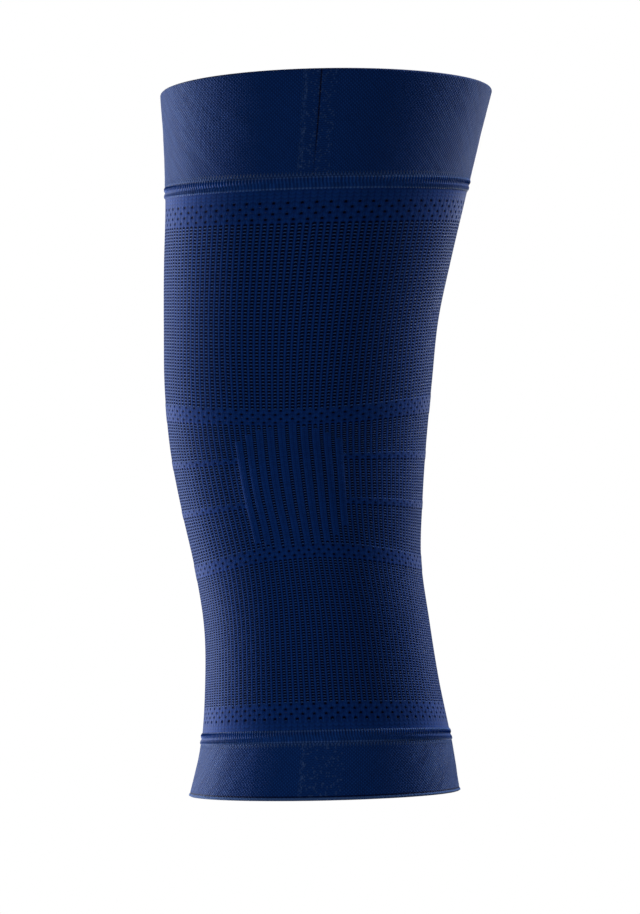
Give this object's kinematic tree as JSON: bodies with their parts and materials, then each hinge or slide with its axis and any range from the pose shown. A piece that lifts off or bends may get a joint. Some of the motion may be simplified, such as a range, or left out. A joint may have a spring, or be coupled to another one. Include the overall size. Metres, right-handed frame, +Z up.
{
  "type": "knee sleeve",
  "caption": "Knitted compression knee sleeve in its worn, leg-following shape: open-knit tube with a ribbed patella panel, dense cuffs and raised seams, hollow from rim to rim.",
  "frame": {"origin": "the middle of the knee, inside the hollow, level with the middle of the patella panel", "axes": "+Z up the leg to the thigh, -Y to the front of the knee, +X to the outer side of a left leg"},
  "size_m": [0.1503, 0.1522, 0.3253],
  "materials": {
    "open_knit": "matte open-hole knit with smooth upright ribs",
    "cuff_knit": "dense fine knit with a soft pale sheen",
    "seam_knit": "two raised ridges of fine upright stitches"
  },
  "bodies": {
    "root": {"top_cuff": "cuff_knit", "upper_seam": "seam_knit", "knit_tube": "open_knit", "lower_seam": "seam_knit", "bottom_cuff": "cuff_knit"}
  },
  "joints": []
}
